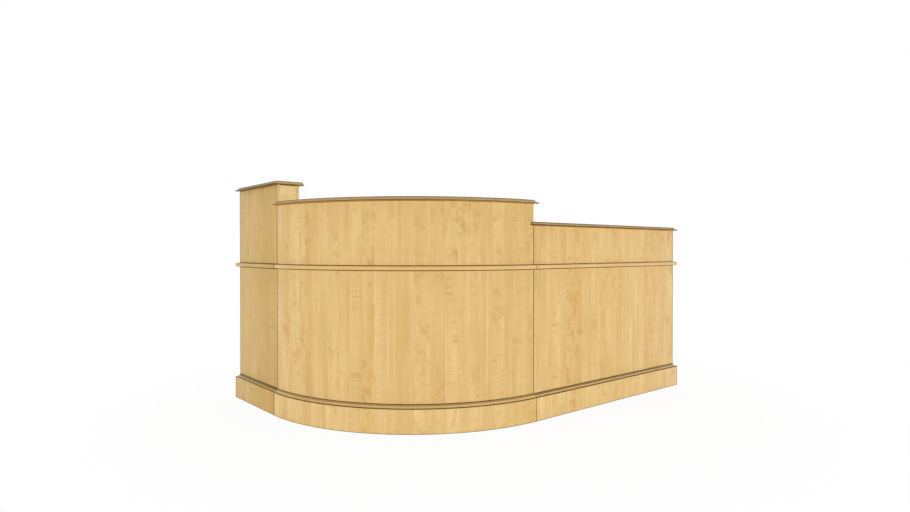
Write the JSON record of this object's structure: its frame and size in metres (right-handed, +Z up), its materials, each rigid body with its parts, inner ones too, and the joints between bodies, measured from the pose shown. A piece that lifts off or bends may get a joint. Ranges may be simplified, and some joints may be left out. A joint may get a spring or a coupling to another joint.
{
  "type": "checkout counter",
  "caption": "L-shaped maple checkout counter with a rounded corner, stepped coved caps, belt rail and moulded skirting, with a staff worktop, locking till drawer and cupboard behind.",
  "frame": {"origin": "middle of the plan's bounding rectangle, on the floor", "axes": "+X along the right wing away from the curved corner, +Y from the customer side to the staff side along the left wing, +Z up"},
  "size_m": [2.187, 1.431, 1.172],
  "materials": {
    "maple_veneer": "satin lacquered maple veneer in upright strips",
    "maple_solid": "satin lacquered solid maple, grain along the length",
    "worktop": "satin lacquered maple, grain along the worktop",
    "plywood": "clear sealed birch plywood",
    "softwood": "planed softwood",
    "zinc_steel": "zinc plated steel",
    "nickel": "satin nickel plate",
    "black_plastic": "moulded black"
  },
  "bodies": {
    "counter": {"left_front_panel": "maple_veneer", "curved_front_panel": "maple_veneer", "right_front_panel": "maple_veneer", "left_liner_panel": "maple_veneer", "curved_liner_panel": "maple_veneer", "right_liner_panel": "maple_veneer", "left_end_panel": "maple_veneer", "left_joint_panel": "maple_veneer", "curved_joint_panels": "maple_veneer", "right_joint_panel": "maple_veneer", "right_end_panel": "maple_veneer", "left_support_panel": "maple_veneer", "unit_knee_side": "maple_veneer", "unit_end_side": "maple_veneer", "unit_plinth": "maple_veneer", "unit_top_rail": "maple_veneer", "unit_mid_rail": "maple_veneer", "left_cap": "maple_solid", "curved_cap": "maple_solid", "right_cap": "maple_solid", "left_belt_rail": "maple_solid", "curved_belt_rail": "maple_solid", "right_belt_rail": "maple_solid", "left_skirting": "maple_solid", "curved_skirting": "maple_solid", "right_skirting": "maple_solid", "left_base_moulding": "maple_solid", "curved_base_moulding": "maple_solid", "right_base_moulding": "maple_solid", "corner_worktop": "worktop", "right_worktop": "worktop", "worktop_brackets": "plywood", "unit_back": "plywood", "unit_bottom": "plywood", "cupboard_shelf": "plywood", "sole_plates": "softwood", "top_plates": "softwood", "wall_studs": "softwood", "worktop_cleats": "softwood", "connector_bolts": "zinc_steel", "connector_nuts": "zinc_steel", "shelf_pins": "zinc_steel", "runner_outer_members": "zinc_steel", "hinge_fixed_leaves": "nickel", "hinge_pins": "nickel", "cable_grommet": "black_plastic"},
    "till_drawer": {"drawer_front": "maple_veneer", "drawer_sides": "plywood", "drawer_ends": "plywood", "drawer_bottom": "plywood", "drawer_knob": "nickel", "runner_inner_members": "zinc_steel", "lock_housing": "nickel"},
    "runner_middles": {"runner_middle_members": "zinc_steel"},
    "drawer_lock": {"lock_plug": "nickel", "lock_cam": "zinc_steel"},
    "door": {"cupboard_door": "maple_veneer", "door_knob": "nickel", "hinge_moving_leaves": "nickel"}
  },
  "joints": [
    {"name": "till_drawer_slide", "type": "slide", "parent": "counter", "child": "till_drawer", "axis": [0, 1, 0], "range_m": [0, 0.42]},
    {"name": "runner_middle_slide", "type": "slide", "parent": "counter", "child": "runner_middles", "axis": [0, 1, 0], "range_m": [0, 0.21]},
    {"name": "drawer_lock_turn", "type": "hinge", "parent": "till_drawer", "child": "drawer_lock", "pos_m": [0.9405, -0.0375, 0.672], "axis": [0, 1, 0], "range_deg": [0, 90]},
    {"name": "cupboard_door_hinge", "type": "hinge", "parent": "counter", "child": "door", "pos_m": [1.0555, -0.0329, 0.338], "axis": [0, 0, -1], "range_deg": [0, 110]}
  ],
  "couplings": [
    {"joint": "runner_middle_slide", "follows": "till_drawer_slide", "ratio": 0.5}
  ]
}
